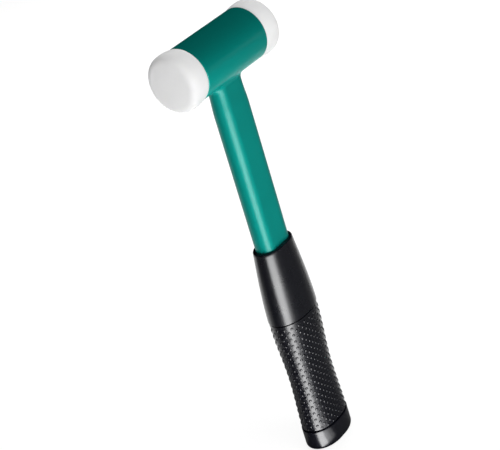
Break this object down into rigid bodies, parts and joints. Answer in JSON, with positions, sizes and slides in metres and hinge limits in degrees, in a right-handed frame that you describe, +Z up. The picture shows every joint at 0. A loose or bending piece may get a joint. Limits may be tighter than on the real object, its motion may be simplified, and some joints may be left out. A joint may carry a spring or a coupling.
{
  "type": "dead blow hammer",
  "caption": "Dead blow hammer: a shot-filled steel tube head with round-edged nylon faces, a welded flat-oval tube handle and a waisted grip with a dotted soft sleeve.",
  "frame": {"origin": "middle of the flat bottom of the grip's butt", "axes": "+Z up the handle to the head, +X along the head to its right striking face, +Y square to the handle's broad side"},
  "size_m": [0.09, 0.0368, 0.3014],
  "materials": {
    "green_paint": "satin powder coat over steel",
    "nylon": "satin white nylon",
    "black_plastic": "smooth, semi-gloss",
    "black_rubber": "satin, with raised dots",
    "steel": "bare, bright",
    "natural_plastic": "as moulded"
  },
  "bodies": {
    "hammer": {"head_tube": "green_paint", "left_chamber_disc": "steel", "right_chamber_disc": "steel", "left_face": "nylon", "right_face": "nylon", "handle_tube": "green_paint", "weld_bead": "green_paint", "handle_plug": "natural_plastic", "grip_core": "black_plastic", "grip_sleeve": "black_rubber"},
    "shot": {"steel_shot": "steel"}
  },
  "joints": [
    {"name": "shot_slide", "type": "slide", "parent": "hammer", "child": "shot", "axis": [1, 0, 0], "range_m": [-0.0045, 0.0045]}
  ]
}
